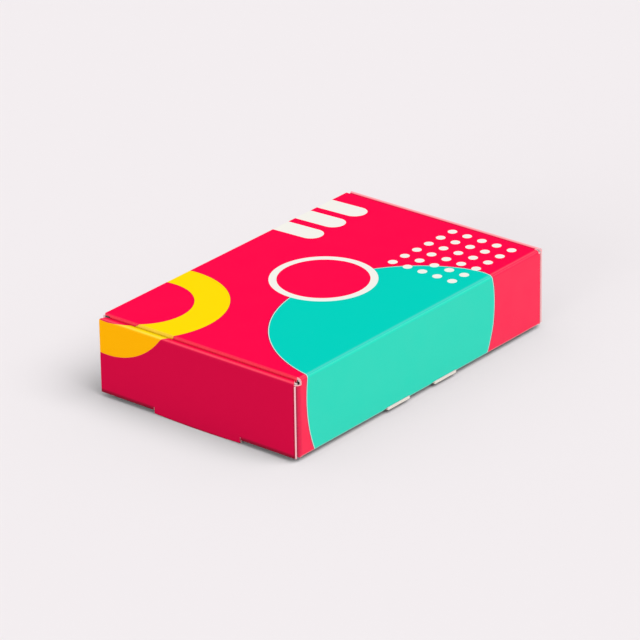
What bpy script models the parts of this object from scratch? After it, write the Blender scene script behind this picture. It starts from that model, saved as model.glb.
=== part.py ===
"""Mailer box folded from one die-cut sheet of thin fluted board.

A roll-end tray with double side walls, and a lid hinged along the top of the back wall.
The lid tucks in with two side ears and a front flap. X runs along the length, the back wall
faces -Y, and Z = 0 is the surface that the box stands on.
"""

import math

import bmesh
import bpy
from mathutils import Matrix, Vector

MM = 0.001

# Driving dimensions of the box, in metres
BOX_LENGTH = 220 * MM
BOX_WIDTH = 140 * MM
WALL_HEIGHT = 46 * MM
BOARD = 1.3 * MM
FIT = 0.3 * MM

# Creases: the outside radius of a plain crease, of the lid's hinge, and of the tray's upright corners
CREASE_RADIUS = 1.2 * MM
HINGE_RADIUS = 2.0 * MM
CORNER_RADIUS = 2.4 * MM

# Lock tongue under each side wall, and the slits that free it from the crease
TONGUE_LENGTH = 61 * MM
TONGUE_DROP = 1.8 * MM
TONGUE_BOW = 0.8 * MM
SLIT_RISE = 1.8 * MM

# Raw upright edges of the side walls stand back from the long walls
EDGE_SETBACK = 1.2 * MM

# The front wall's raw top edge stays below the lid's rounded front edge
FRONT_DROP = 1.9 * MM

# Roll-over strips on the side walls: how far each lies below the lid's top, and the legs along its edges.
# Their ends are cut back towards the inside of the box
STRIP_SINK_LEFT = 1.7 * MM
STRIP_SINK_RIGHT = 0.2 * MM
STRIP_LEG = 0.3 * MM
STRIP_TAPER = 3 * MM

# Two lips of the base that show under the back wall, each with a sloped cut in the wall beside it
LIP_LENGTH = 19 * MM
LIP_SPACING = 41.5 * MM
LIP_OFFSET = -2 * MM
LIP_RELIEF = 5.5 * MM
LIP_REACH = 0.5 * MM
LIP_SINK = 0.3 * MM
LIP_ROOT = 3 * MM

# Dust flaps folded in between the two layers of each side wall
DUST_FLAP_LENGTH = 56 * MM
DUST_FLAP_TAPER = 6 * MM
DUST_FLAP_ROUND = 5 * MM

# Inner side walls
INNER_WALL_CHAMFER = 4 * MM

# Side ears of the lid
EAR_DEPTH = 32 * MM
EAR_BACK_START = 3 * MM
EAR_BACK_TAPER = 12 * MM
EAR_ROUND = 8 * MM

# Front flap of the lid, which leans in so that its edge clears the front wall as the lid swings
FLAP_DEPTH = 28 * MM
FLAP_ROUND = 9 * MM
FLAP_LEAN = math.radians(6)
MITRE_GAP = 1.5 * MM

CORNER_STEPS = 5
FOLD_STEPS = 6

# Levels and distances that follow from the sizes above
half_length = BOX_LENGTH / 2
half_width = BOX_WIDTH / 2
crease_radius = min(CREASE_RADIUS, BOARD - 0.1 * MM)
hinge_radius = max(HINGE_RADIUS, BOARD + 0.2 * MM)
corner_radius = max(CORNER_RADIUS, BOARD + 0.2 * MM)
layer = BOARD + FIT
base_z = TONGUE_DROP + TONGUE_BOW
top_z = base_z + WALL_HEIGHT
strip_width = 3 * BOARD + 2 * FIT
strip_depth = BOARD + STRIP_LEG
left_height = WALL_HEIGHT - STRIP_SINK_LEFT - strip_depth - FIT
right_height = WALL_HEIGHT - STRIP_SINK_RIGHT - strip_depth - FIT
flap_face = half_length - layer
inner_face = flap_face - layer
lid_half = half_length - strip_width - FIT
lid_front = half_width - layer
corner_start = flap_face - corner_radius
hinge_inset = hinge_radius - (hinge_radius + FIT / 2) * math.sin(math.radians(45))
hinge_bend = (hinge_radius - BOARD / 2) * math.radians(45)
ear_axis = lid_half - BOARD
flap_axis = lid_front - BOARD
slot_half = TONGUE_LENGTH / 2

RED = (0.93, 0.01, 0.06)
CORAL = (1.0, 0.06, 0.10)
TURQUOISE = (0.03, 0.70, 0.53)
WHITE = (0.90, 0.89, 0.86)
BOARD_ROUGHNESS = 0.45


def clear_scene():
    """Start from an empty scene."""
    for obj in list(bpy.data.objects):
        bpy.data.objects.remove(obj)


def new_collection(name):
    """Link a new collection to the scene."""
    collection = bpy.data.collections.new(name)
    bpy.context.scene.collection.children.link(collection)
    return collection


def board_material(name, colour):
    """Satin printed or white-lined board."""
    material = bpy.data.materials.new(name)
    material.use_nodes = True
    shader = material.node_tree.nodes["Principled BSDF"]
    shader.inputs["Base Color"].default_value = (*colour, 1)
    shader.inputs["Roughness"].default_value = BOARD_ROUGHNESS
    shader.inputs["Metallic"].default_value = 0
    return material


def rounded(corners):
    """Outline through (u, v, radius) corners, each rounded by an arc of its radius."""
    points = []
    count = len(corners)
    for index, (u, v, radius) in enumerate(corners):
        corner = Vector((u, v))
        if radius <= 0:
            points.append(corner)
            continue
        before = (Vector(corners[index - 1][:2]) - corner).normalized()
        after = (Vector(corners[(index + 1) % count][:2]) - corner).normalized()
        half_angle = before.angle(after) / 2
        centre = corner + (before + after).normalized() * (radius / math.sin(half_angle))
        start = corner + before * (radius / math.tan(half_angle)) - centre
        end = corner + after * (radius / math.tan(half_angle)) - centre
        sweep = start.angle_signed(end)
        for step in range(CORNER_STEPS + 1):
            turn = Matrix.Rotation(-sweep * step / CORNER_STEPS, 2)
            points.append(centre + turn @ start)
    return points


def bow(start, end, level, sagitta, steps=12):
    """Points on a shallow arc from start to end along u, which sinks by its sagitta."""
    points = []
    for step in range(steps + 1):
        share = step / steps
        points.append(Vector((start + (end - start) * share, level - sagitta * 4 * share * (1 - share))))
    return points


def outline_mesh(name, points, thickness, face=0.0):
    """Flat sheet with the given outline, its outer face at z = face and its inner face below."""
    curve = bpy.data.curves.new(name, "CURVE")
    curve.dimensions = "2D"
    curve.fill_mode = "BOTH"
    curve.extrude = thickness / 2
    spline = curve.splines.new("POLY")
    spline.points.add(len(points) - 1)
    for point, place in zip(spline.points, points):
        point.co = (place[0], place[1], 0, 1)
    spline.use_cyclic_u = True
    guide = bpy.data.objects.new(name, curve)
    bpy.context.scene.collection.objects.link(guide)
    bpy.context.view_layer.update()
    evaluated = guide.evaluated_get(bpy.context.evaluated_depsgraph_get())
    mesh = bpy.data.meshes.new_from_object(evaluated)
    bpy.data.objects.remove(guide)
    bpy.data.curves.remove(curve)
    bm = bmesh.new()
    bm.from_mesh(mesh)
    bmesh.ops.remove_doubles(bm, verts=bm.verts, dist=0.01 * MM)
    bmesh.ops.translate(bm, verts=bm.verts, vec=(0, 0, face - thickness / 2))
    bmesh.ops.recalc_face_normals(bm, faces=bm.faces)
    bm.to_mesh(mesh)
    bm.free()
    mesh.name = name
    return mesh


def round_crease(obj, face, chosen, radius):
    """Round the edges of the outer face, at z = face, whose middle passes the chosen test."""
    mesh = obj.data
    bm = bmesh.new()
    bm.from_mesh(mesh)
    bmesh.ops.dissolve_limit(bm, angle_limit=math.radians(0.5), verts=bm.verts, edges=bm.edges)
    weight = bm.edges.layers.float.new("bevel_weight_edge")
    for edge in bm.edges:
        on_face = all(abs(vert.co.z - face) < 0.01 * MM for vert in edge.verts)
        middle = (edge.verts[0].co + edge.verts[1].co) / 2
        if on_face and chosen(middle.x, middle.y):
            edge[weight] = 1
    bm.to_mesh(mesh)
    bm.free()
    bevel = obj.modifiers.new("crease", "BEVEL")
    bevel.limit_method = "WEIGHT"
    bevel.width = radius
    bevel.segments = CORNER_STEPS
    bevel.use_clamp_overlap = True


def fold_mesh(mesh, along, start, inner_radius, angle):
    """Bend a sheet, whose outer face is at z = 0, back through an angle from a start along a direction."""
    bm = bmesh.new()
    bm.from_mesh(mesh)
    neutral = inner_radius + BOARD / 2
    length = neutral * angle
    for step in range(FOLD_STEPS + 1):
        cut = bm.verts[:] + bm.edges[:] + bm.faces[:]
        place = along * (start + length * step / FOLD_STEPS)
        bmesh.ops.bisect_plane(bm, geom=cut, dist=0.005 * MM, plane_co=place, plane_no=along)
    for vert in bm.verts:
        run = vert.co.dot(along) - start
        if run <= 0:
            continue
        turn = min(run / neutral, angle)
        reach = inner_radius + BOARD + vert.co.z
        rest = max(run - length, 0)
        vert.co += along * (reach * math.sin(turn) + rest * math.cos(turn) - run)
        vert.co.z = reach * math.cos(turn) - inner_radius - BOARD - rest * math.sin(turn)
    bmesh.ops.recalc_face_normals(bm, faces=bm.faces)
    bm.to_mesh(mesh)
    bm.free()


def mirror_mesh(mesh):
    """Turn a mesh into its mirror image across x = 0."""
    bm = bmesh.new()
    bm.from_mesh(mesh)
    bmesh.ops.scale(bm, vec=(-1, 1, 1), verts=bm.verts)
    bmesh.ops.recalc_face_normals(bm, faces=bm.faces)
    bm.to_mesh(mesh)
    bm.free()


def add_panel(name, mesh, colour, parts):
    """One named object with its own material."""
    mesh.materials.append(board_material(name, colour))
    obj = bpy.data.objects.new(name, mesh)
    parts.objects.link(obj)
    return obj


def stand(obj, turn, distance, height, lean=0.0):
    """Stand a sheet up: its outer side faces -Y, turned about Z, at a distance from the box's centre."""
    place = Matrix.Rotation(turn, 3, "Z") @ Vector((0, -distance, height))
    obj.location = place
    obj.rotation_euler = (math.radians(90) + lean, 0, turn)


def add_cutter(name, size, location, tilt, cutters):
    """Box that trims another piece and isn't part of the model."""
    bpy.ops.mesh.primitive_cube_add(size=1)
    cutter = bpy.context.object
    cutter.name = name
    for collection in list(cutter.users_collection):
        collection.objects.unlink(cutter)
    cutters.objects.link(cutter)
    cutter.data.transform(Matrix.Diagonal((*size, 1)))
    cutter.location = location
    cutter.rotation_euler = (tilt, 0, 0)
    cutter.hide_render = True
    cutter.display_type = "WIRE"
    return cutter


def add_boolean(obj, other, operation):
    """Cut a piece by another, or join the other to it."""
    modifier = obj.modifiers.new(other.name, "BOOLEAN")
    modifier.operation = operation
    modifier.solver = "EXACT"
    modifier.object = other


def mitre_cutter(name, towards, cutters):
    """Box on one side of the 45 degree plane that parts the lid from the back wall."""
    normal = Vector((0, 1, 1)).normalized() * towards
    middle = Vector((0, -half_width + BOARD / 2, top_z - BOARD / 2))
    size = 4 * BOARD
    centre = middle + normal * (size / 2 - FIT / 2)
    return add_cutter(name, (BOX_LENGTH + 20 * MM, size, size), centre, math.radians(45), cutters)


def make_base(parts, cutters):
    """Floor panel: a slot for each side wall's lock tab, and two lips that pass under the back wall."""
    long_edge = flap_face
    short_edge = half_width - layer
    cut = corner_radius + layer / 2
    corners = []
    for across, along in ((1, -1), (1, 1), (-1, 1), (-1, -1)):
        ends = [
            (across * (long_edge - cut), along * short_edge, 0),
            (across * long_edge, along * (short_edge - cut), 0),
        ]
        corners += ends if across * along < 0 else ends[::-1]
    mesh = outline_mesh("base_panel", rounded(corners), BOARD, face=BOARD)
    base = add_panel("base_panel", mesh, WHITE, parts)
    base.location = (0, 0, base_z)
    slot_depth = long_edge - lid_half
    for name, side in (("slot_left", -1), ("slot_right", 1)):
        size = (2 * slot_depth, TONGUE_LENGTH, 3 * BOARD)
        place = (side * long_edge, 0, base_z + BOARD / 2)
        add_boolean(base, add_cutter(name, size, place, 0, cutters), "DIFFERENCE")
    lip_front = half_width + LIP_REACH
    lip_back = short_edge - LIP_ROOT
    lip_size = (LIP_LENGTH, lip_front - lip_back, BOARD)
    for name, side in (("lip_left", -1), ("lip_right", 1)):
        middle = LIP_OFFSET + side * LIP_SPACING / 2
        place = (middle, -(lip_front + lip_back) / 2, base_z - LIP_SINK + BOARD / 2)
        add_boolean(base, add_cutter(name, lip_size, place, 0, cutters), "UNION")


def wall_top(edge, height, first_height, last_height):
    """Top of a long wall from its +u end, notched at both ends to clear the roll-over strips."""
    return [
        (edge, first_height, 0),
        (lid_half, first_height, 0),
        (lid_half, height, 0),
        (-lid_half, height, 0),
        (-lid_half, last_height, 0),
        (-edge, last_height, 0),
    ]


def make_back_wall(parts, cutters):
    """Hinge wall: creased at the base, bent at the lid, and notched over the two lips of the base."""
    edge = corner_start - FIT
    notch = BOARD - LIP_SINK + FIT
    reach = LIP_LENGTH / 2 + FIT
    corners = [(-edge, 0, 0)]
    for side in (-1, 1):
        middle = LIP_OFFSET + side * LIP_SPACING / 2
        corners += [(middle - reach - LIP_RELIEF, 0, 0), (middle - reach, notch, 0)]
        corners += [(middle + reach, notch, 0), (middle + reach, 0, 0)]
    bend_start = WALL_HEIGHT - hinge_radius
    bend_end = bend_start + hinge_bend + FIT
    corners += [(edge, 0, 0)] + wall_top(edge, bend_end, right_height, left_height)
    mesh = outline_mesh("back_wall", rounded(corners), BOARD)
    fold_mesh(mesh, Vector((0, 1, 0)), bend_start, hinge_radius - BOARD, math.radians(45))
    wall = add_panel("back_wall", mesh, TURQUOISE, parts)
    round_crease(wall, 0, lambda u, v: v < 0.01 * MM, crease_radius)
    stand(wall, 0, half_width, base_z)
    add_boolean(wall, mitre_cutter("mitre_above", 1, cutters), "DIFFERENCE")


def make_front_wall(parts):
    """Front wall with a raw top edge, in front of the lid's tucked-in flap."""
    edge = corner_start - FIT
    height = WALL_HEIGHT - FRONT_DROP
    corners = [(-edge, 0, 0), (edge, 0, 0)] + wall_top(edge, height, left_height, right_height)
    wall = add_panel("front_wall", outline_mesh("front_wall", rounded(corners), BOARD), RED, parts)
    round_crease(wall, 0, lambda u, v: v < 0.01 * MM, crease_radius)
    stand(wall, math.pi, half_width, base_z)


def make_dust_flap(name, turn, side, height, parts):
    """Flap that goes round the upright corner and in between the layers of the side wall."""
    neutral = corner_radius - BOARD / 2
    fold = neutral * math.pi / 2
    tip = fold + DUST_FLAP_LENGTH
    lifted = layer
    corners = [
        (0, FIT, 0),
        (fold / 2, FIT, 0),
        (fold, lifted, 0),
        (tip - DUST_FLAP_TAPER, lifted, 0),
        (tip, lifted + 2 * DUST_FLAP_TAPER, DUST_FLAP_ROUND),
        (tip, height - 2 * DUST_FLAP_TAPER, DUST_FLAP_ROUND),
        (tip - DUST_FLAP_TAPER, height, 0),
        (0, height, 0),
    ]
    mesh = outline_mesh(name, rounded(corners), BOARD)
    fold_mesh(mesh, Vector((1, 0, 0)), 0, corner_radius - BOARD, math.pi / 2)
    mesh.transform(Matrix.Translation((corner_start, 0, 0)))
    if side < 0:
        mirror_mesh(mesh)
    flap = add_panel(name, mesh, CORAL, parts)
    stand(flap, turn, half_width, base_z)


def make_outer_side_wall(name, turn, height, parts):
    """Outer layer of a side wall, with the lock tongue that the box stands on."""
    edge = half_width - EDGE_SETBACK
    corners = [(-edge, height), (-edge, 0), (-slot_half - FIT, 0), (-slot_half - FIT, SLIT_RISE)]
    corners += [(-slot_half, SLIT_RISE)]
    corners += bow(-slot_half, slot_half, -TONGUE_DROP, TONGUE_BOW)
    corners += [(slot_half, SLIT_RISE), (slot_half + FIT, SLIT_RISE), (slot_half + FIT, 0)]
    corners += [(edge, 0), (edge, height)]
    wall = add_panel(name, outline_mesh(name, corners, BOARD), RED, parts)
    round_crease(wall, 0, lambda u, v: abs(v) < 0.01 * MM, crease_radius)
    stand(wall, turn, half_length, base_z)


def make_roll_over_strip(name, turn, sink, parts):
    """Channel over the top of a side wall, with a crease along each long edge and slanted ends."""
    corners = [
        (0, -strip_depth, 0),
        (BOARD, -strip_depth, 0),
        (BOARD, -BOARD, 0),
        (strip_width - BOARD, -BOARD, 0),
        (strip_width - BOARD, -strip_depth, 0),
        (strip_width, -strip_depth, 0),
        (strip_width, 0, crease_radius),
        (0, 0, crease_radius),
    ]
    length = BOX_WIDTH - 2 * EDGE_SETBACK
    mesh = outline_mesh(name, rounded(corners), length, face=length / 2)
    for vert in mesh.vertices:
        vert.co.z -= math.copysign(STRIP_TAPER * vert.co.x / strip_width, vert.co.z)
    strip = add_panel(name, mesh, RED, parts)
    place = Matrix.Rotation(turn, 3, "Z") @ Vector((-half_length, 0, top_z - sink))
    strip.location = place
    strip.rotation_euler = (math.radians(90), 0, turn)


def make_inner_side_wall(name, turn, height, parts):
    """Inner layer of a side wall, with the tab that locks into the slot of the base."""
    edge = half_width - corner_radius
    tab = slot_half - FIT
    corners = [
        (-edge, layer + INNER_WALL_CHAMFER, 0),
        (-edge + INNER_WALL_CHAMFER, layer, 0),
        (-tab, layer, 0),
        (-tab + FIT, 0, 0),
        (tab - FIT, 0, 0),
        (tab, layer, 0),
        (edge - INNER_WALL_CHAMFER, layer, 0),
        (edge, layer + INNER_WALL_CHAMFER, 0),
        (edge, height, 0),
        (-edge, height, 0),
    ]
    wall = add_panel(name, outline_mesh(name, rounded(corners), BOARD), WHITE, parts)
    stand(wall, turn, inner_face, base_z)


def make_lid(parts, cutters):
    """Lid panel, hinged on the crease along the top of the back wall."""
    front = half_width - hinge_inset + lid_front
    bend_start = hinge_radius - hinge_inset
    back = bend_start - hinge_bend - FIT
    corners = [(-lid_half, back, 0), (lid_half, back, 0), (lid_half, front, 0), (-lid_half, front, 0)]
    mesh = outline_mesh("lid_panel", rounded(corners), BOARD)
    fold_mesh(mesh, Vector((0, -1, 0)), -bend_start, hinge_radius - BOARD, math.radians(45))
    mesh.transform(Matrix.Translation((0, 0, hinge_inset)))
    lid = add_panel("lid_panel", mesh, RED, parts)
    round_crease(lid, hinge_inset, lambda u, v: abs(v - bend_start) > 0.01 * MM, crease_radius)
    lid.location = (0, -half_width + hinge_inset, top_z - hinge_inset)
    add_boolean(lid, mitre_cutter("mitre_below", -1, cutters), "DIFFERENCE")
    return lid


def make_lid_ear(name, turn, side, lid, parts):
    """Ear on a short edge of the lid, tucked in beside the inner side wall."""
    front = flap_axis - MITRE_GAP
    back = -half_width + EAR_BACK_START
    corners = [
        (side * back, -FIT, 0),
        (side * (back + EAR_BACK_TAPER), -EAR_DEPTH, EAR_ROUND),
        (side * (front - EAR_DEPTH), -EAR_DEPTH, EAR_ROUND),
        (side * (front - FIT), -FIT, 0),
    ]
    ear = add_panel(name, outline_mesh(name, rounded(corners), BOARD, face=BOARD), RED, parts)
    stand(ear, turn, ear_axis, top_z - BOARD)
    hang_on(ear, lid)


def make_tuck_flap(lid, parts):
    """Front flap of the lid, tucked in behind the front wall."""
    root = ear_axis - MITRE_GAP
    corners = [
        (-root + FIT, -FIT, 0),
        (-root + FLAP_DEPTH, -FLAP_DEPTH, FLAP_ROUND),
        (root - FLAP_DEPTH, -FLAP_DEPTH, FLAP_ROUND),
        (root - FIT, -FIT, 0),
    ]
    mesh = outline_mesh("lid_tuck_flap", rounded(corners), BOARD, face=BOARD)
    flap = add_panel("lid_tuck_flap", mesh, RED, parts)
    stand(flap, math.pi, flap_axis, top_z - BOARD, lean=FLAP_LEAN)
    hang_on(flap, lid)


def hang_on(obj, parent):
    """Make a piece follow its parent from where it stands."""
    bpy.context.view_layer.update()
    obj.parent = parent
    obj.matrix_parent_inverse = parent.matrix_world.inverted()


def build():
    """Make every panel of the box."""
    clear_scene()
    parts = new_collection("mailer_box")
    cutters = new_collection("cutters")
    left = math.radians(-90)
    right = math.radians(90)
    make_base(parts, cutters)
    make_back_wall(parts, cutters)
    make_front_wall(parts)
    make_dust_flap("back_dust_flap_left", 0, -1, left_height, parts)
    make_dust_flap("back_dust_flap_right", 0, 1, right_height, parts)
    make_dust_flap("front_dust_flap_left", math.pi, 1, left_height, parts)
    make_dust_flap("front_dust_flap_right", math.pi, -1, right_height, parts)
    for side_name, turn, height in (("left", left, left_height), ("right", right, right_height)):
        make_outer_side_wall("outer_side_wall_" + side_name, turn, height, parts)
        make_inner_side_wall("inner_side_wall_" + side_name, turn, height, parts)
    make_roll_over_strip("roll_over_strip_left", 0, STRIP_SINK_LEFT, parts)
    make_roll_over_strip("roll_over_strip_right", math.pi, STRIP_SINK_RIGHT, parts)
    lid = make_lid(parts, cutters)
    make_lid_ear("lid_ear_left", left, -1, lid, parts)
    make_lid_ear("lid_ear_right", right, 1, lid, parts)
    make_tuck_flap(lid, parts)


build()
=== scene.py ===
"""Looks of the printed mailer box: its board, its creases, its print, and the studio around it."""

import math

import bpy
from mathutils import Matrix, Vector


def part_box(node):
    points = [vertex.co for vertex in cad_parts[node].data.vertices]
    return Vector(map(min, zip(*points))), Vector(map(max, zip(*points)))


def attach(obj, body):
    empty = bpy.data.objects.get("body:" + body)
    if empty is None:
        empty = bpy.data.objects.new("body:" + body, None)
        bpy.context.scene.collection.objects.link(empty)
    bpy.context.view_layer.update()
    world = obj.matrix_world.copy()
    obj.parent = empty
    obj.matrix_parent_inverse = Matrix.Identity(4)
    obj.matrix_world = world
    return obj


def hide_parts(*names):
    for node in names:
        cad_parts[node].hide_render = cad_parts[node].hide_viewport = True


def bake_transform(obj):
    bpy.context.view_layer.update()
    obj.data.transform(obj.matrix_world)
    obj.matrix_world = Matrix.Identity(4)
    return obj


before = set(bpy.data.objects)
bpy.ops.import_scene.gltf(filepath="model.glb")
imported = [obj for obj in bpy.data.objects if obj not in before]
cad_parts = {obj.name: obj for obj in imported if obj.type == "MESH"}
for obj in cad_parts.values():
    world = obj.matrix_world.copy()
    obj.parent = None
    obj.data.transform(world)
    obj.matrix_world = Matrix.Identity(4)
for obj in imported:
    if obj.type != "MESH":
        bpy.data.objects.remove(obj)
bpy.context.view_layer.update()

MM = 0.001
GAP = 0.3 * MM

# Places of the panels, read from the frame
lid_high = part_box("lid_panel")[1]
wall_low, wall_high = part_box("outer_side_wall_left")
base_low, base_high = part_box("base_panel")
back_low, back_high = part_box("back_wall")
flap_low, flap_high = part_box("lid_tuck_flap")
ear_low, ear_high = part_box("lid_ear_left")

board = wall_high.x - wall_low.x
base_level = back_low.z
top_level = lid_high.z
back_face = back_low.y
lid_edge = lid_high.x
lid_front = lid_high.y

# What stays open of a seam between two panels of the same sheet
SEAM = 0.01 * MM
seam_growth = (base_low.x - wall_high.x) - SEAM

# Rounded edges of the lid, and the thin layers that a crease is made of
FOLD_RADIUS = 1.2 * MM
HINGE_RADIUS = 2.0 * MM
FOLD_STEPS = 12

# Rib of buckled liner inside the bend of the hinge
RIB_SIDES = 12
RIB_RADIUS = 0.62 * MM
RIB_BEVEL = 0.1 * MM
RIB_BEVEL_STEPS = 2
RIB_END_GAP = 0.3 * MM

# Meshes: what is welded, what counts as flat, and what is shaded smooth
WELD_REACH = 0.002 * MM
FLAT_ANGLE = math.radians(0.5)
SMOOTH_ANGLE = math.radians(30)
RIB_SMOOTH_ANGLE = math.radians(40)

# How far a face leans one way, as a cosine, and what that makes of it
SLIGHTLY = 0.1
MOSTLY = 0.5
PRINT_LEAN = 0.12
LINER_LEAN = -0.6

# How close to the base a face is its rim, and how close to an end a point is on it
BASE_REACH = 0.2 * MM
NEAR = 0.05 * MM

# Print on the sheet, in millimetres of the sheet: u along the length, v across the lid and down the back
DISC_CENTRE = (-17.8, -81.9)
DISC_RADII = (84.6, 82.0)
DISC_TURN = math.radians(52)
DISC_HALO = 0.40
DISC_RIM = 0.90
# Where the disc's right border is drawn in at the hinge fold: place on v, reach and depth
DISC_PINCHES = ((-70.0, 7.0, 1.5), (-76.0, 24.0, 2.1))
RING_CENTRE = (-82.5, 62.3)
SIDE_RING_CENTRE = (-83.0, 64.0)
RING_RADIUS = 39.2
RING_HALF_WIDTH = 9.8
RING_OUTLINE = 0.35
BAR_CENTRES = (46.7, 66.6, 86.3)
BAR_RADIUS = 6.95
BAR_START = 46.9
BAR_END = 82.0
BAR_LEAN = -0.06
DOT_RADIUS = 2.75
DOT_START = (42.9, -56.6)
DOT_PITCH = (10.73, 10.58)
DOT_COUNT = (6, 5)
DOT_TURN = math.radians(-0.9)
BADGE_CENTRE = (2.4, 2.2)
BADGE_RADIUS = 30.5
BADGE_INNER_RADIUS = 26.1

# Inks and paper, as linear colours, with the colours of painted light and shade among them
RED_INK = (1.0, 0.0015, 0.067)
# Red of the left side, a darker copy of the lid's red: painted shade of the left side
SHADED_SIDE_RED_INK = (0.645, 0.003, 0.052)
# Deep red: the overprint line of the ring, and painted shade in the groove at the right strip's inner edge
DEEP_RED_AND_GROOVE_SHADE_INK = (0.70, 0.003, 0.053)
TURQUOISE_INK = (0.0, 0.62, 0.50)
# Turquoise of the back, lighter than the lid's: a painted sheen of the floor's light on the back face
SHEENED_BACK_TURQUOISE_INK = (0.0, 0.70, 0.50)
YELLOW_INK = (1.0, 0.70, 0.001)
# Yellow of the ring on the left side, darker and so orange: painted shade of the left side
SHADED_SIDE_YELLOW_INK = (1.0, 0.455, 0.001)
# White ink, and the white of the painted highlights along the folds
WHITE_INK_AND_HIGHLIGHT = (0.88, 0.858, 0.80)
# Near black, mixed into the print as painted shade in grooves, at corners and at the foot
PAINTED_SHADE_INK = (0.02, 0.01, 0.01)
HALO_INK = (0.86, 0.81, 0.81)
# Dark red: the overprint line round the disc, and painted shade in the corner bends of the dust flaps
RIM_AND_VALLEY_SHADE_INK = (0.40, 0.002, 0.047)
# Pale pink of the right strip: a painted sheen of grazing reflection, with some crease whitening
WHITENING_AND_SHEEN_PINK = (1.0, 0.75, 0.77)
PAPER = (0.88, 0.86, 0.84)
# Greys of the hidden cores, seen only by bounce light: they set the darkness and tint of the box's shadows
SHADOW_CORE_GREY = (0.40, 0.45, 0.42)
DARK_SHADOW_CORE_GREY = (0.15, 0.175, 0.16)

# Cut edges, as liner, flute and hollow: rosy where the print's ink has run into them, and bare
# The third colour of each, the hollow, is darker as painted shade in the flute channels
ROSY_CUT = ((1.0, 0.67, 0.68), (1.0, 0.61, 0.63), (0.97, 0.50, 0.53))
BARE_CUT = ((0.99, 0.93, 0.84), (0.98, 0.91, 0.80), (0.84, 0.76, 0.66))

# Painted highlights and painted shade along the folds: axis on the sheet, place, reach, share, and what is
# painted there.
# On axis u both sides fold, and on axis left only the side where u is negative.
# Painted highlights, with some crease whitening, on the lid's left edge, its hinge bend and its front fold
LID_FOLDS = (
    ("left", 106.2, 1.7, 0.11, WHITE_INK_AND_HIGHLIGHT),
    ("v", -68.6, 1.4, 0.10, WHITE_INK_AND_HIGHLIGHT),
    ("v", 68.6, 1.0, 0.05, WHITE_INK_AND_HIGHLIGHT),
)
# Painted highlights at the hinge bend and along the base fold, and painted shade in the dust flaps' corner
# bends
BACK_FOLDS = (
    ("v", -68.6, 2.6, 0.10, WHITE_INK_AND_HIGHLIGHT),
    ("v", -115.3, 0.6, 0.40, WHITE_INK_AND_HIGHLIGHT),
    ("left", 108.5, 3.6, 0.80, RIM_AND_VALLEY_SHADE_INK),
    ("u", 108.5, 1.1, 0.95, RIM_AND_VALLEY_SHADE_INK),
)
# Painted shade along the side wall's near end, beside the cut edge of the corner
SIDE_FOLDS = (("v", -68.3, 0.9, 0.42, PAINTED_SHADE_INK),)
# Painted shade in the groove at the strip's inner edge, and a painted highlight along its crest
STRIP_FOLDS = (("u", 108.0, 1.5, 0.35, PAINTED_SHADE_INK), ("u", 110.8, 1.5, 0.10, WHITE_INK_AND_HIGHLIGHT))

# Where the left side's painted-shade inks take over, and where the right strip's painted sheen pales it,
# and how much
STRIP_TURN = (111.0, 112.2)
PALE_REACH = (106.85, 110.2)
PALE_SHARES = (0.22, 0.95)

# Foot of the side wall, and of the tongue in its middle: where painted shade darkens it, and how much
CREASE_SHADE = (153.4, 155.0)
CREASE_SHADE_SHARE = 0.6
TONGUE_HALF = 30.5
TONGUE_SHADOW = (157.5, 158.8)
TONGUE_SHADOW_SHARE = 0.7

# Cut edge of the board, in millimetres: pitch of the flutes, thickness of a liner, half of that of the
# flute's own paper, and how ragged it is
FLUTE_PITCH = 3.0
LINER = 0.24
FLUTE_WALL = 0.11
CUT_RAG = 0.05

# How far a hidden core lies inside its panel
CORE_INSET = 0.2 * MM

# Where panels without figures lie on the sheet, in metres from the others
PLAIN_SHIFT = 1.0

# Scales of the noises, in waves a metre, and the part of their range that is used
FOLD_PATCH_SCALE = 700
GRAIN_SCALE = 2600
GLOSS_SCALE = 60
LINER_CLOUD_SCALE = 45
LINER_FIBRE_SCALE = 900
CORE_FIBRE_SCALE = 1400
CUT_FIBRE_SCALE = 1500
NOISE_RANGE = (0.3, 0.7)
FIBRE_RANGE = (0.4, 0.7)
CUT_RANGE = (0.2, 0.8)

# Flecks: one in each cell of a grid, a share of it wide, where a slower noise is low
FLECK_SCALE = 70
FLECK_SIZE = 0.011
FLECK_PATCH_SCALE = 23
FLECK_PATCH_LIMIT = 0.41
FLECK_SHARE = 0.35

# Heights of the reliefs
WASHBOARD_RELIEF = 0.006 * MM
GRAIN_RELIEF = 0.012 * MM
LINER_RELIEF = 0.02 * MM
CORE_RELIEF = 0.03 * MM
CUT_RELIEF = 0.15 * MM

# Patches of the painted light and shade of the folds, roughness and gloss of the print, and how the papers'
# tone varies
FOLD_PATCH_SHARES = (0.7, 1.0)
PRINT_ROUGHNESS = (0.40, 0.50)
LID_GLOSS = 0.005
BACK_GLOSS = 0.35
SIDE_GLOSS = 0.01
STRIP_GLOSS = 0.02
LINER_DIM = 0.93
LINER_CLOUD_SHARE = 0.6
LINER_FIBRE_SHARE = 0.4
CORE_DIM = 0.8

# Camera, matched to the edges of the box in the photograph
PHOTO_WIDTH = 640
FOCAL_PIXELS = 4500
SENSOR_WIDTH = 36.0
CAMERA_PLACE = Vector((-1.75684, -1.44227, 1.06789))
CAMERA_RIGHT = Vector((0.63007, -0.7764, -0.01468))
CAMERA_UP = Vector((0.33228, 0.25246, 0.90877))
CAMERA_REACH = 30

# Studio
FLOOR_SIZE = 12.0
FLOOR_COLOUR = (0.863, 0.815, 0.832)
ROOM_COLOUR = (0.985, 1.0, 1.0)
ROOM_LEVEL = 0.495
KEY_LEVEL = 1.87
KEY_SPREAD = math.radians(50)
KEY_DIRECTION = Vector((0.06, -0.54, 0.86))
SIDE_LEVEL = 1.0
SIDE_SPREAD = math.radians(35)
SIDE_DIRECTION = Vector((-1.0, -0.05, 0.16))


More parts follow.
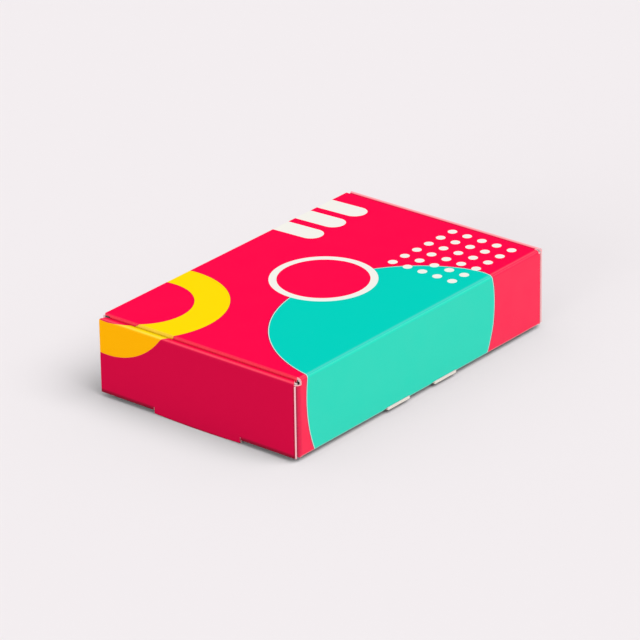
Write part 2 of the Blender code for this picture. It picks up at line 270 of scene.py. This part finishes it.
def clean_start():
    """Nothing selected, and object mode."""
    if bpy.context.object and bpy.context.object.mode != "OBJECT":
        bpy.ops.object.mode_set(mode="OBJECT")
    bpy.ops.object.select_all(action="DESELECT")


def make_active(piece):
    """Select one piece alone."""
    clean_start()
    piece.select_set(True)
    bpy.context.view_layer.objects.active = piece


def select_points(piece, wanted):
    """In edit mode, select the points whose place passes a test."""
    bpy.ops.object.mode_set(mode="EDIT")
    bpy.ops.mesh.select_mode(type="VERT")
    bpy.ops.mesh.select_all(action="DESELECT")
    bpy.ops.object.mode_set(mode="OBJECT")
    for point in piece.data.vertices:
        point.select = wanted(point.co)
    bpy.ops.object.mode_set(mode="EDIT")


def shift_points(piece, wanted, shift):
    """Move the points that pass a test."""
    select_points(piece, wanted)
    bpy.ops.transform.translate(value=shift)
    bpy.ops.object.mode_set(mode="OBJECT")


def edit_all():
    """Edit mode, with the whole of the active piece selected."""
    bpy.ops.object.mode_set(mode="EDIT")
    bpy.ops.mesh.select_all(action="SELECT")


def close_outwards():
    """Turn all faces outwards and leave edit mode."""
    bpy.ops.mesh.select_all(action="SELECT")
    bpy.ops.mesh.normals_make_consistent(inside=False)
    bpy.ops.object.mode_set(mode="OBJECT")


def linked_copy(mesh, name):
    """A new piece of the scene with its own copy of a mesh, bare of materials."""
    piece = bpy.data.objects.new(name, mesh.copy())
    bpy.context.scene.collection.objects.link(piece)
    piece.data.materials.clear()
    return piece


def give_materials(piece, materials):
    """Fill the material slots of a piece: print, liner, edge."""
    for material in materials:
        piece.data.materials.append(material)


class Recipe:
    """A material's node tree, with short calls for the sums that a printed pattern needs."""

    def __init__(self, name):
        self.material = bpy.data.materials.new(name)
        self.material.use_nodes = True
        self.tree = self.material.node_tree
        self.shader = self.tree.nodes["Principled BSDF"]

    def node(self, kind, **settings):
        """Add a node and set its properties."""
        made = self.tree.nodes.new(kind)
        for key, value in settings.items():
            setattr(made, key, value)
        return made

    def plug(self, value, socket):
        """Link a socket to an input, or write a plain value there."""
        if isinstance(value, bpy.types.NodeSocket):
            self.tree.links.new(value, socket)
        else:
            socket.default_value = value

    def plug_colour(self, colour, socket):
        """Link a socket to a colour input, or write three plain values there."""
        self.plug(colour if isinstance(colour, bpy.types.NodeSocket) else (*colour, 1), socket)

    def sum(self, operation, *values):
        """One Math node."""
        made = self.node("ShaderNodeMath", operation=operation)
        for value, socket in zip(values, made.inputs):
            self.plug(value, socket)
        return made.outputs[0]

    def inside(self, distance, limit=0.0):
        """1 where a distance is below a limit."""
        return self.sum("LESS_THAN", distance, limit)

    def both(self, first, second):
        """1 where both masks are 1."""
        return self.sum("MULTIPLY", first, second)

    def length(self, across, along):
        """Length of a flat vector."""
        squares = self.sum("MULTIPLY_ADD", along, along, self.sum("MULTIPLY", across, across))
        return self.sum("SQRT", squares)

    def paint(self, mask, below, above):
        """Lay a colour over another where a mask says."""
        made = self.node("ShaderNodeMix", data_type="RGBA")
        self.plug(mask, made.inputs["Factor"])
        for name, colour in (("A", below), ("B", above)):
            socket = next(entry for entry in made.inputs if entry.name == name and entry.type == "RGBA")
            self.plug_colour(colour, socket)
        return next(entry for entry in made.outputs if entry.type == "RGBA")

    def spread(self, value, low, high, to_low=0.0, to_high=1.0):
        """Map a range of values to another, clamped."""
        made = self.node("ShaderNodeMapRange")
        for socket, entry in zip(made.inputs, (value, low, high, to_low, to_high)):
            self.plug(entry, socket)
        return made.outputs[0]

    def noise(self, place, scale, detail=2.0, roughness=0.5):
        """Noise of a given scale, in waves a metre."""
        made = self.node("ShaderNodeTexNoise")
        self.plug(place, made.inputs["Vector"])
        made.inputs["Scale"].default_value = scale
        made.inputs["Detail"].default_value = detail
        made.inputs["Roughness"].default_value = roughness
        return made.outputs["Fac"]

    def bump(self, height, distance, strength=1.0, below=None):
        """Relief of a height, in metres."""
        made = self.node("ShaderNodeBump")
        made.inputs["Strength"].default_value = strength
        made.inputs["Distance"].default_value = distance
        self.plug(height, made.inputs["Height"])
        if below:
            self.plug(below, made.inputs["Normal"])
        return made.outputs["Normal"]

    def finish(self, colour, roughness, gloss, normal=None):
        """Give the shader its colour, roughness, gloss and relief."""
        self.plug_colour(colour, self.shader.inputs["Base Color"])
        self.plug(roughness, self.shader.inputs["Roughness"])
        self.shader.inputs["Specular IOR Level"].default_value = gloss
        if normal:
            self.plug(normal, self.shader.inputs["Normal"])
        return self.material


def sheet_place(recipe, layer="sheet"):
    """The two coordinates of a UV map of the piece, in millimetres."""
    uv = recipe.node("ShaderNodeUVMap", uv_map=layer)
    parts = recipe.node("ShaderNodeSeparateXYZ")
    recipe.plug(uv.outputs["UV"], parts.inputs["Vector"])
    return parts.outputs["X"], parts.outputs["Y"]


def object_place(recipe):
    """Object coordinates, in metres."""
    return recipe.node("ShaderNodeTexCoord").outputs["Object"]


def offset(recipe, u, v, centre):
    """A place on the sheet, seen from a centre."""
    return recipe.sum("SUBTRACT", u, centre[0]), recipe.sum("SUBTRACT", v, centre[1])


def turned(recipe, across, along, turn):
    """Flat coordinates in axes that are turned."""
    sine, cosine = math.sin(turn), math.cos(turn)
    first = recipe.sum("MULTIPLY_ADD", along, sine, recipe.sum("MULTIPLY", across, cosine))
    second = recipe.sum("MULTIPLY_ADD", across, -sine, recipe.sum("MULTIPLY", along, cosine))
    return first, second


def paint_ring(recipe, u, v, colour, centre, ink):
    """Broad ring that wraps the left edge, with the thin line where its ink overlaps the red."""
    across, along = offset(recipe, u, v, centre)
    radial = recipe.sum("SUBTRACT", recipe.length(across, along), RING_RADIUS)
    distance = recipe.sum("SUBTRACT", recipe.sum("ABSOLUTE", radial), RING_HALF_WIDTH)
    colour = recipe.paint(recipe.inside(distance, RING_OUTLINE), colour, DEEP_RED_AND_GROOVE_SHADE_INK)
    return recipe.paint(recipe.inside(distance), colour, ink)


def paint_disc(recipe, u, v, colour, ink):
    """Large disc that wraps the back edge, with the fine pale line of its misregistered ink."""
    across, along = turned(recipe, *offset(recipe, u, v, DISC_CENTRE), DISC_TURN)
    across = recipe.sum("DIVIDE", across, DISC_RADII[0])
    along = recipe.sum("DIVIDE", along, DISC_RADII[1])
    ratio = recipe.sum("SUBTRACT", recipe.length(across, along), 1.0)
    distance = recipe.sum("MULTIPLY", ratio, DISC_RADII[0])
    on_right = recipe.sum("GREATER_THAN", u, 0.0)
    for place, reach, depth in DISC_PINCHES:
        away = recipe.sum("ABSOLUTE", recipe.sum("SUBTRACT", v, place))
        pinch = recipe.spread(away, 0.0, reach, depth, 0.0)
        distance = recipe.sum("MULTIPLY_ADD", pinch, on_right, distance)
    colour = recipe.paint(recipe.inside(distance, DISC_RIM), colour, RIM_AND_VALLEY_SHADE_INK)
    colour = recipe.paint(recipe.inside(distance, DISC_HALO), colour, HALO_INK)
    return recipe.paint(recipe.inside(distance), colour, ink)


def paint_bars(recipe, u, v, colour):
    """Three round-ended bars that run over the front edge."""
    lean = recipe.sum("MULTIPLY", recipe.sum("SUBTRACT", v, BAR_START), BAR_LEAN)
    for centre in BAR_CENTRES:
        across = recipe.sum("SUBTRACT", recipe.sum("SUBTRACT", u, centre), lean)
        short = recipe.sum("MAXIMUM", recipe.sum("SUBTRACT", BAR_START, v), 0.0)
        past = recipe.sum("MAXIMUM", recipe.sum("SUBTRACT", v, BAR_END), 0.0)
        distance = recipe.length(across, recipe.sum("ADD", short, past))
        colour = recipe.paint(recipe.inside(distance, BAR_RADIUS), colour, WHITE_INK_AND_HIGHLIGHT)
    return colour


def paint_dots(recipe, u, v, colour):
    """Grid of small dots."""
    masks = []
    cells = []
    places = turned(recipe, *offset(recipe, u, v, DOT_START), DOT_TURN)
    for place, pitch, count in zip(places, DOT_PITCH, DOT_COUNT):
        step = recipe.sum("DIVIDE", place, pitch)
        nearest = recipe.sum("ROUND", step)
        cells.append(recipe.sum("MULTIPLY", recipe.sum("SUBTRACT", step, nearest), pitch))
        middle = recipe.sum("SUBTRACT", nearest, (count - 1) / 2)
        masks.append(recipe.inside(recipe.sum("ABSOLUTE", middle), count / 2))
    dots = recipe.inside(recipe.length(*cells), DOT_RADIUS)
    return recipe.paint(recipe.both(dots, recipe.both(*masks)), colour, WHITE_INK_AND_HIGHLIGHT)


def paint_badge(recipe, u, v, colour):
    """White ring round a bare red middle."""
    across, along = offset(recipe, u, v, BADGE_CENTRE)
    radial = recipe.length(across, along)
    colour = recipe.paint(recipe.inside(radial, BADGE_RADIUS), colour, WHITE_INK_AND_HIGHLIGHT)
    return recipe.paint(recipe.inside(radial, BADGE_INNER_RADIUS), colour, RED_INK)


def board_relief(recipe, v):
    """Paper grain over the faint washboard of the flutes below the liner."""
    place = object_place(recipe)
    wave = recipe.sum("SINE", recipe.sum("MULTIPLY", v, 2 * math.pi / FLUTE_PITCH))
    washboard = recipe.bump(wave, WASHBOARD_RELIEF, strength=0.5)
    grain = recipe.noise(place, GRAIN_SCALE, detail=3.0)
    return recipe.bump(grain, GRAIN_RELIEF, strength=0.35, below=washboard)


def fleck_mask(recipe):
    """Rare pinholes in the ink and specks of dust."""
    place = object_place(recipe)
    cells = recipe.node("ShaderNodeTexVoronoi")
    recipe.plug(place, cells.inputs["Vector"])
    cells.inputs["Scale"].default_value = FLECK_SCALE
    near = recipe.inside(cells.outputs["Distance"], FLECK_SIZE)
    rare = recipe.inside(recipe.noise(place, FLECK_PATCH_SCALE), FLECK_PATCH_LIMIT)
    return recipe.both(near, rare)


def paint_fold_light_and_shade(recipe, u, v, colour, folds):
    """Painted highlights and painted shade along the folds of the sheet, in uneven patches."""
    patch_noise = recipe.noise(object_place(recipe), FOLD_PATCH_SCALE, detail=3.0)
    patches = recipe.spread(patch_noise, *NOISE_RANGE, *FOLD_PATCH_SHARES)
    spots = {"u": recipe.sum("ABSOLUTE", u), "left": recipe.sum("MULTIPLY", u, -1.0), "v": v}
    for axis, place, reach, share, shown in folds:
        distance = recipe.sum("ABSOLUTE", recipe.sum("SUBTRACT", spots[axis], place))
        amount = recipe.sum("MULTIPLY", recipe.spread(distance, 0.0, reach, share, 0.0), patches)
        colour = recipe.paint(amount, colour, shown)
    return colour


def paint_groove_shade_and_sheen(recipe, u, colour, start, end):
    """Painted sheen and crease whitening that pale the ink from one place to another, with painted shade
    before.
    """
    colour = recipe.paint(recipe.inside(u, start), colour, DEEP_RED_AND_GROOVE_SHADE_INK)
    amount = recipe.spread(u, start, end, *PALE_SHARES)
    return recipe.paint(recipe.both(amount, recipe.sum("GREATER_THAN", u, start)), colour, WHITENING_AND_SHEEN_PINK)


def paint_foot_shade(recipe, u, v, colour):
    """Painted shade where the side wall bends under the box, and a painted contact shadow where its tongue
    stands.
    """
    down = recipe.sum("ABSOLUTE", u)
    tongue = recipe.inside(recipe.sum("ABSOLUTE", v), TONGUE_HALF)
    off_tongue = recipe.sum("SUBTRACT", 1.0, tongue)
    crease = recipe.both(recipe.spread(down, *CREASE_SHADE, 0.0, CREASE_SHADE_SHARE), off_tongue)
    foot = recipe.both(recipe.spread(down, *TONGUE_SHADOW, 0.0, TONGUE_SHADOW_SHARE), tongue)
    return recipe.paint(recipe.sum("ADD", crease, foot), colour, PAINTED_SHADE_INK)


def printed_board(
    name, gloss, folds=(), ring_centre=RING_CENTRE, disc_ink=TURQUOISE_INK, side=None, pale=None, foot=False
):
    """Satin printed liner: inks by their place on the sheet, grain, flecks and uneven roughness.

    The side wall's darker copies of the inks, its painted shade, take over between the two places of side.
    Painted highlights and painted shade lie along the folds. A painted sheen pales the ink between the two
    places of pale, with painted shade in the groove before them, and foot paints shade along the lower
    crease of the side wall and a painted contact shadow where its tongue stands.
    """
    recipe = Recipe(name)
    u, v = sheet_place(recipe)
    # Past the turn of side, the darker copies of red and yellow take over: painted shade of the left side
    on_shaded_side = recipe.spread(recipe.sum("ABSOLUTE", u), *side) if side else 0.0
    colour = recipe.paint(on_shaded_side, RED_INK, SHADED_SIDE_RED_INK)
    ring_ink = recipe.paint(on_shaded_side, YELLOW_INK, SHADED_SIDE_YELLOW_INK)
    colour = paint_ring(recipe, u, v, colour, ring_centre, ring_ink)
    colour = paint_disc(recipe, u, v, colour, disc_ink)
    colour = paint_bars(recipe, u, v, colour)
    colour = paint_dots(recipe, u, v, colour)
    colour = paint_badge(recipe, u, v, colour)
    colour = recipe.paint(recipe.sum("MULTIPLY", fleck_mask(recipe), FLECK_SHARE), colour, WHITE_INK_AND_HIGHLIGHT)
    # Painted highlights and painted shade along the folds
    colour = paint_fold_light_and_shade(recipe, u, v, colour, folds)
    # Painted sheen of the right strip, and painted shade in the groove before it
    if pale:
        colour = paint_groove_shade_and_sheen(recipe, u, colour, *pale)
    # Painted shade along the side wall's foot, and a painted contact shadow at its tongue
    if foot:
        colour = paint_foot_shade(recipe, u, v, colour)
    cloud = recipe.noise(object_place(recipe), GLOSS_SCALE, detail=3.0)
    roughness = recipe.spread(cloud, *NOISE_RANGE, *PRINT_ROUGHNESS)
    return recipe.finish(colour, roughness, gloss, board_relief(recipe, v))


def plain_liner():
    """White inner liner, matt, with the cloudiness and the fibres of paper."""
    recipe = Recipe("white_liner")
    place = object_place(recipe)
    cloud = recipe.noise(place, LINER_CLOUD_SCALE, detail=4.0, roughness=0.6)
    fibre = recipe.noise(place, LINER_FIBRE_SCALE, detail=3.0)
    clouded = recipe.spread(cloud, *NOISE_RANGE, 0.0, LINER_CLOUD_SHARE)
    shade = recipe.sum("ADD", clouded, recipe.spread(fibre, *FIBRE_RANGE, 0.0, LINER_FIBRE_SHARE))
    dim = tuple(LINER_DIM * part for part in PAPER)
    relief = recipe.bump(fibre, LINER_RELIEF, strength=0.5)
    return recipe.finish(recipe.paint(shade, PAPER, dim), roughness=0.85, gloss=0.25, normal=relief)


def shadow_core_material(name, paper):
    """Rough grey of the hidden cores, with fibres, which sets the darkness and the tint of the shadows
    round the box.
    """
    recipe = Recipe(name)
    fibre = recipe.noise(object_place(recipe), CORE_FIBRE_SCALE, detail=4.0, roughness=0.6)
    dim = tuple(CORE_DIM * part for part in paper)
    colour = recipe.paint(recipe.spread(fibre, *NOISE_RANGE), paper, dim)
    relief = recipe.bump(fibre, CORE_RELIEF, strength=0.5)
    return recipe.finish(colour, roughness=0.95, gloss=0.1, normal=relief)


def raw_edge(name, liner_paper, flute_paper, hollow_shade):
    """Cut edge of the board: two liners, and between them the flutes, cut across or along."""
    recipe = Recipe(name)
    along, depth = sheet_place(recipe, "edge")
    fibre = recipe.noise(object_place(recipe), CUT_FIBRE_SCALE)
    depth = recipe.sum("ADD", depth, recipe.spread(fibre, *CUT_RANGE, -CUT_RAG, CUT_RAG))
    middle = board / MM / 2
    swing = middle - LINER - FLUTE_WALL / 2
    wave = recipe.sum("SINE", recipe.sum("MULTIPLY", along, 2 * math.pi / FLUTE_PITCH))
    flute = recipe.sum("MULTIPLY_ADD", wave, swing, middle)
    on_flute = recipe.inside(recipe.sum("ABSOLUTE", recipe.sum("SUBTRACT", depth, flute)), FLUTE_WALL)
    from_middle = recipe.sum("ABSOLUTE", recipe.sum("SUBTRACT", depth, middle))
    on_liner = recipe.sum("GREATER_THAN", from_middle, middle - LINER)
    solid = recipe.sum("MAXIMUM", on_flute, on_liner)
    # The hollows between the flutes in a darker colour: painted shade
    colour = recipe.paint(on_flute, hollow_shade, flute_paper)
    colour = recipe.paint(on_liner, colour, liner_paper)
    relief = recipe.bump(solid, CUT_RELIEF, strength=0.6)
    return recipe.finish(colour, roughness=0.9, gloss=0.2, normal=relief)


# The lid's print, with painted highlights on its folds
PRINT = printed_board("printed_board", LID_GLOSS, folds=LID_FOLDS)
# The back's print, its turquoise lighter by a painted sheen, with painted highlights and painted shade on
# its folds
BACK_PRINT = printed_board(
    "printed_back_board", BACK_GLOSS, folds=BACK_FOLDS, disc_ink=SHEENED_BACK_TURQUOISE_INK
)
# The left side's print, in darker copies of the inks that are painted shade, with painted shade along its
# foot
SHADED_SIDE_PRINT = printed_board(
    "printed_side_board_painted_shade",
    SIDE_GLOSS,
    folds=SIDE_FOLDS,
    ring_centre=SIDE_RING_CENTRE,
    side=STRIP_TURN,
    foot=True,
)
# The left strip's print, in the left side's painted-shade inks past its turn, with painted shade and a
# highlight on its folds
STRIP_PRINT = printed_board(
    "printed_strip", STRIP_GLOSS, folds=STRIP_FOLDS, ring_centre=SIDE_RING_CENTRE, side=STRIP_TURN
)
# The right strip's print, paled by a painted sheen, with painted shade in the groove at its inner edge
PALE_STRIP_PRINT = printed_board("printed_pale_strip", STRIP_GLOSS, pale=PALE_REACH)
LINER_WHITE = plain_liner()
ROSY_EDGE = raw_edge("rosy_cut_edge", *ROSY_CUT)
BARE_EDGE = raw_edge("bare_cut_edge", *BARE_CUT)
CORE = shadow_core_material("shadow_core_grey", SHADOW_CORE_GREY)
DARK_CORE = shadow_core_material("dark_shadow_core_grey", DARK_SHADOW_CORE_GREY)

# Material slots of every piece of board
FACES = {"print": 0, "liner": 1, "edge": 2}


# Where a point of the printed side lies on the unfolded sheet, in metres


def lid_place(co):
    """The lid, with its hinge bend and its rounded edges rolled out."""
    drop = top_level - co.z
    if co.y < back_face + HINGE_RADIUS:
        return co.x, co.y - drop
    if lid_edge - abs(co.x) < FOLD_RADIUS:
        return co.x + math.copysign(drop, co.x), co.y
    if lid_front - co.y < FOLD_RADIUS:
        return co.x, co.y + drop
    return co.x, co.y


def back_place(co):
    """The back, which hangs from the lid's hinge."""
    return co.x, co.y + co.z - top_level


def front_place(co):
    """The front, which would hang from the lid's far edge."""
    return co.x, co.y - co.z + top_level


def left_place(co):
    """The left side, down from the lid's level."""
    return co.x + co.z - top_level, co.y


def right_place(co):
    """The right side, down from the lid's level."""
    return co.x - co.z + top_level, co.y


def plain_place(co):
    """Panels that carry no figures, far off on the sheet."""
    return co.x + PLAIN_SHIFT, co.y


class Panel:
    """How a panel of the sheet is dressed.

    outer points out through its printed side, and place unrolls its points onto the sheet. whole_rim prints
    its edges too, seams are the ends that grow towards the next panel, and cuts are planes that part its
    faces. A dark panel throws no colour on what is round it, and hides a core that stands in for it there.
    """

    def __init__(self, body, outer, place, slot, ink=PRINT, whole_rim=False, seams=(), cuts=(), dark=False):
        self.body = body
        self.outer = Vector(outer).normalized()
        self.place = place
        self.slot = slot
        self.ink = ink
        self.whole_rim = whole_rim
        self.seams = seams
        self.cuts = cuts
        self.dark = dark


def beyond(axis, level):
    """Test for the points past a level along an axis, on the level's own side of zero."""
    if level > 0:
        return lambda co: co[axis] > level
    return lambda co: co[axis] < level


# Ends that grow into their seams, and the plane where the lid's ears begin
ear_end = (Vector((0, ear_low.y, 0)), Vector((0, 1, 0)))
wall_ends = [
    (beyond(0, back_high.x - NEAR), Vector((seam_growth, 0, 0))),
    (beyond(0, back_low.x + NEAR), Vector((-seam_growth, 0, 0))),
]
wall_head = [(beyond(2, wall_high.z - NEAR), Vector((0, 0, seam_growth)))]
base_rim = [
    (beyond(0, base_high.x - NEAR), Vector((seam_growth, 0, 0))),
    (beyond(0, base_low.x + NEAR), Vector((-seam_growth, 0, 0))),
    (beyond(1, base_high.y - NEAR), Vector((0, seam_growth, 0))),
]

PANELS = {
    "lid_panel": Panel("lid", (0, 0, 1), lid_place, "printed_board", whole_rim=True, cuts=[ear_end]),
    "lid_ear_left": Panel("left_ear", (-1, 0, 0), left_place, "printed_board"),
    "lid_ear_right": Panel("right_ear", (1, 0, 0), right_place, "printed_board"),
    "lid_tuck_flap": Panel("tuck_flap", (0, 1, 0), front_place, "printed_board"),
    "back_wall": Panel(
        "tray", (0, -1, 0), back_place, "printed_back_board", ink=BACK_PRINT, seams=wall_ends, dark=True
    ),
    "front_wall": Panel("tray", (0, 1, 0), front_place, "printed_board", seams=wall_ends, dark=True),
    "base_panel": Panel(
        "tray", (0, 0, -1), plain_place, "white_board", ink=LINER_WHITE, seams=base_rim, dark=True
    ),
    "outer_side_wall_left": Panel(
        "tray", (-1, 0, 0), left_place, "printed_board", ink=SHADED_SIDE_PRINT, seams=wall_head, dark=True
    ),
    "outer_side_wall_right": Panel(
        "tray", (1, 0, 0), right_place, "printed_board", seams=wall_head, dark=True
    ),
    "inner_side_wall_left": Panel(
        "tray", (1, 0, 0), plain_place, "white_board", ink=LINER_WHITE, seams=wall_head
    ),
    "inner_side_wall_right": Panel(
        "tray", (-1, 0, 0), plain_place, "white_board", ink=LINER_WHITE, seams=wall_head
    ),
    "roll_over_strip_left": Panel("tray", (0, 0, 1), left_place, "printed_board", ink=STRIP_PRINT),
    "roll_over_strip_right": Panel("tray", (0, 0, 1), right_place, "printed_board", ink=PALE_STRIP_PRINT),
    "back_dust_flap_left": Panel(
        "tray", (-1, -1, 0), back_place, "printed_board", ink=BACK_PRINT, dark=True
    ),
    "back_dust_flap_right": Panel(
        "tray", (1, -1, 0), back_place, "printed_board", ink=BACK_PRINT, dark=True
    ),
    "front_dust_flap_left": Panel("tray", (-1, 1, 0), front_place, "printed_board", dark=True),
    "front_dust_flap_right": Panel("tray", (1, 1, 0), front_place, "printed_board", dark=True),
}


def board_copy(node):
    """The shape of a CAD panel, its corners joined and its flat faces whole again."""
    piece = linked_copy(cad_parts[node].data, node + "_board")
    make_active(piece)
    edit_all()
    bpy.ops.mesh.remove_doubles(threshold=WELD_REACH)
    bpy.ops.mesh.dissolve_limited(angle_limit=FLAT_ANGLE)
    bpy.ops.object.mode_set(mode="OBJECT")
    return piece


def side_of(panel, face, strip_middle):
    """Which side of the board a face is on: print, liner or edge."""
    normal = face.normal
    if strip_middle is not None and abs(normal.y) < MOSTLY:
        sideways = abs(normal.x) > SLIGHTLY and normal.x * (face.center.x - strip_middle.x) > 0
        return "print" if sideways or normal.z > SLIGHTLY else "liner"
    if panel.cuts and face.center.y < ear_low.y and abs(normal.x) > MOSTLY:
        return "edge"
    if any(wanted(face.center) for wanted, _ in panel.seams):
        return "print"
    lean = normal.dot(panel.outer)
    if lean > PRINT_LEAN:
        return "print"
    if lean < LINER_LEAN:
        return "liner"
    at_base = abs(face.center.z - base_level) < BASE_REACH and normal.z < -MOSTLY
    at_mitre = panel.whole_rim and normal.y < -MOSTLY and normal.z < -MOSTLY
    if at_base and panel.outer.z > -MOSTLY or panel.whole_rim and not at_mitre:
        return "print"
    return "edge"


def write_places(piece, panel):
    """Write two UV maps, in millimetres.

    One is the place on the sheet. The other, for cut edges, is the place across the flutes and the depth
    below the printed side.
    """
    mesh = piece.data
    sheet = mesh.uv_layers.new(name="sheet")
    edge = mesh.uv_layers.new(name="edge")
    surface = max(point.co.dot(panel.outer) for point in mesh.vertices)
    for loop in mesh.loops:
        co = mesh.vertices[loop.vertex_index].co
        u, v = panel.place(co)
        sheet.data[loop.index].uv = (u / MM, v / MM)
        edge.data[loop.index].uv = (v / MM, (surface - co.dot(panel.outer)) / MM)


def fill_core(piece, node, panel):
    """Hidden core inside a panel: grey behind its print, which sets how dark its shadows are, and white
    behind its liner.
    """
    core = linked_copy(piece.data, node + "_core")
    # The darkest grey under the base, to deepen the shadow beneath the box
    paper = DARK_CORE if node == "base_panel" else CORE
    give_materials(core, (paper, LINER_WHITE, paper))
    for face, dressed in zip(core.data.polygons, piece.data.polygons):
        face.material_index = dressed.material_index
    make_active(core)
    edit_all()
    bpy.ops.transform.shrink_fatten(value=-CORE_INSET, use_even_offset=True)
    bpy.ops.object.mode_set(mode="OBJECT")
    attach(core, panel.body)


def dress(node, panel):
    """Replace a CAD panel by its printed, lined and cut board."""
    piece = board_copy(node)
    is_strip = node.startswith("roll_over_strip")
    middle = sum((Vector(corner) for corner in piece.bound_box), Vector()) / 8 if is_strip else None
    for wanted, shift in panel.seams:
        shift_points(piece, wanted, shift)
    for place, across in panel.cuts:
        edit_all()
        bpy.ops.mesh.bisect(plane_co=place, plane_no=across)
        bpy.ops.object.mode_set(mode="OBJECT")
    edge = BARE_EDGE if panel.ink is LINER_WHITE else ROSY_EDGE
    give_materials(piece, (panel.ink, LINER_WHITE, edge))
    for face in piece.data.polygons:
        face.material_index = FACES[side_of(panel, face, middle)]
    write_places(piece, panel)
    make_active(piece)
    bpy.ops.object.shade_smooth_by_angle(angle=SMOOTH_ANGLE)
    bpy.ops.object.modifier_add(type="WEIGHTED_NORMAL")
    piece.modifiers[-1].keep_sharp = True
    bpy.ops.object.modifier_apply(modifier=piece.modifiers[-1].name)
    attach(piece, panel.body)
    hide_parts(node)
    piece.visible_diffuse = not panel.dark
    if panel.dark:
        fill_core(piece, node, panel)


def crease_between(name, middle, size, tilt, rise, bodies, outer, ink):
    """Creased board between two panels of one joint.

    It starts flat on the first panel's edge and grows to the second in thin layers.
    """
    clean_start()
    bpy.ops.mesh.primitive_plane_add(size=1, location=middle, rotation=(tilt, 0, 0))
    piece = bpy.context.object
    piece.name = name
    piece.scale = (*size, 1)
    bpy.ops.object.transform_apply(location=True, rotation=True, scale=True)
    edit_all()
    for _ in range(FOLD_STEPS):
        bpy.ops.mesh.extrude_region_move(TRANSFORM_OT_translate={"value": rise / FOLD_STEPS})
    close_outwards()
    panel = Panel(bodies[1], outer, lid_place, "printed_board", ink=ink)
    give_materials(piece, (panel.ink, LINER_WHITE, ROSY_EDGE))
    for face in piece.data.polygons:
        lean = face.normal.dot(panel.outer)
        face.material_index = FACES["print" if lean > MOSTLY else "liner" if lean < -MOSTLY else "edge"]
    write_places(piece, panel)
    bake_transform(piece)


def hinge_rib(middle):
    """Rib of inner liner that buckles inside the bend of the hinge and shows at its open ends."""
    clean_start()
    length = 2 * (lid_edge - RIB_END_GAP)
    bpy.ops.mesh.primitive_cylinder_add(
        vertices=RIB_SIDES,
        radius=RIB_RADIUS,
        depth=length,
        location=middle,
        rotation=(0, math.radians(90), 0),
    )
    piece = bpy.context.object
    piece.name = "hinge_rib"
    bpy.ops.object.transform_apply(location=True, rotation=True, scale=True)
    edit_all()
    bpy.ops.mesh.bevel(offset=RIB_BEVEL, segments=RIB_BEVEL_STEPS, affect="EDGES")
    close_outwards()
    bpy.ops.object.shade_smooth_by_angle(angle=RIB_SMOOTH_ANGLE)
    piece.data.materials.append(LINER_WHITE)
    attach(piece, "tray")


def studio_floor():
    """Plain pale floor."""
    clean_start()
    bpy.ops.mesh.primitive_plane_add(size=FLOOR_SIZE, location=(0, 0, 0))
    floor = bpy.context.object
    floor.name = "studio_floor"
    floor.data.materials.append(Recipe("studio_floor").finish(FLOOR_COLOUR, roughness=0.95, gloss=0.1))


def soft_lamp(name, level, spread, direction):
    """Broad distant lamp, which shines from a direction."""
    light = bpy.data.lights.new(name, "SUN")
    light.energy = level
    light.angle = spread
    lamp = bpy.data.objects.new(name, light)
    lamp.rotation_euler = direction.to_track_quat("Z", "Y").to_euler()
    bpy.context.scene.collection.objects.link(lamp)


def studio_light():
    """Even room light, a broad soft key from above the back, and a low lamp for the left side."""
    world = bpy.data.worlds.new("room")
    world.use_nodes = True
    background = world.node_tree.nodes["Background"]
    background.inputs["Color"].default_value = (*ROOM_COLOUR, 1)
    background.inputs["Strength"].default_value = ROOM_LEVEL
    bpy.context.scene.world = world
    soft_lamp("key", KEY_LEVEL, KEY_SPREAD, KEY_DIRECTION)
    soft_lamp("side", SIDE_LEVEL, SIDE_SPREAD, SIDE_DIRECTION)


def studio_camera():
    """Long lens at the photograph's angle."""
    camera = bpy.data.cameras.new("camera")
    camera.sensor_width = SENSOR_WIDTH
    camera.lens = FOCAL_PIXELS / PHOTO_WIDTH * SENSOR_WIDTH
    camera.clip_end = CAMERA_REACH
    holder = bpy.data.objects.new("camera", camera)
    back = CAMERA_RIGHT.cross(CAMERA_UP)
    turn = Matrix((CAMERA_RIGHT, CAMERA_UP, back)).transposed()
    holder.matrix_world = Matrix.Translation(CAMERA_PLACE) @ turn.to_4x4()
    bpy.context.scene.collection.objects.link(holder)
    bpy.context.scene.camera = holder


studio_camera()
studio_light()
studio_floor()
for node_name, panel in PANELS.items():
    dress(node_name, panel)

# Creases between the panels that move
outwards = Vector((0, -1, 1)).normalized()
across_gap = Vector((0, 1, 1)).normalized() * GAP
bend_middle = Vector((0, back_face + HINGE_RADIUS, top_level - HINGE_RADIUS))
crease_between(
    "hinge_crease",
    bend_middle + outwards * (HINGE_RADIUS - board / 2) - across_gap / 2,
    (2 * lid_edge, board),
    math.radians(-45),
    across_gap,
    ("tray", "lid"),
    outwards,
    BACK_PRINT,
)
hinge_rib(bend_middle)
for side, hand in (("left", -1), ("right", 1)):
    crease_between(
        side + "_ear_crease",
        Vector((hand * (lid_edge - board / 2), (ear_low.y + ear_high.y) / 2, top_level - board)),
        (board, ear_high.y - ear_low.y),
        0,
        Vector((0, 0, -GAP)),
        ("lid", side + "_ear"),
        Vector((hand, 0, 0)),
        PRINT,
    )
crease_between(
    "tuck_flap_crease",
    Vector((0, lid_front - board / 2, top_level - board)),
    (flap_high.x - flap_low.x, board),
    0,
    Vector((0, flap_high.y - lid_front, -GAP)),
    ("lid", "tuck_flap"),
    Vector((0, 1, 0)),
    PRINT,
)

bpy.context.scene.view_settings.view_transform = "Standard"
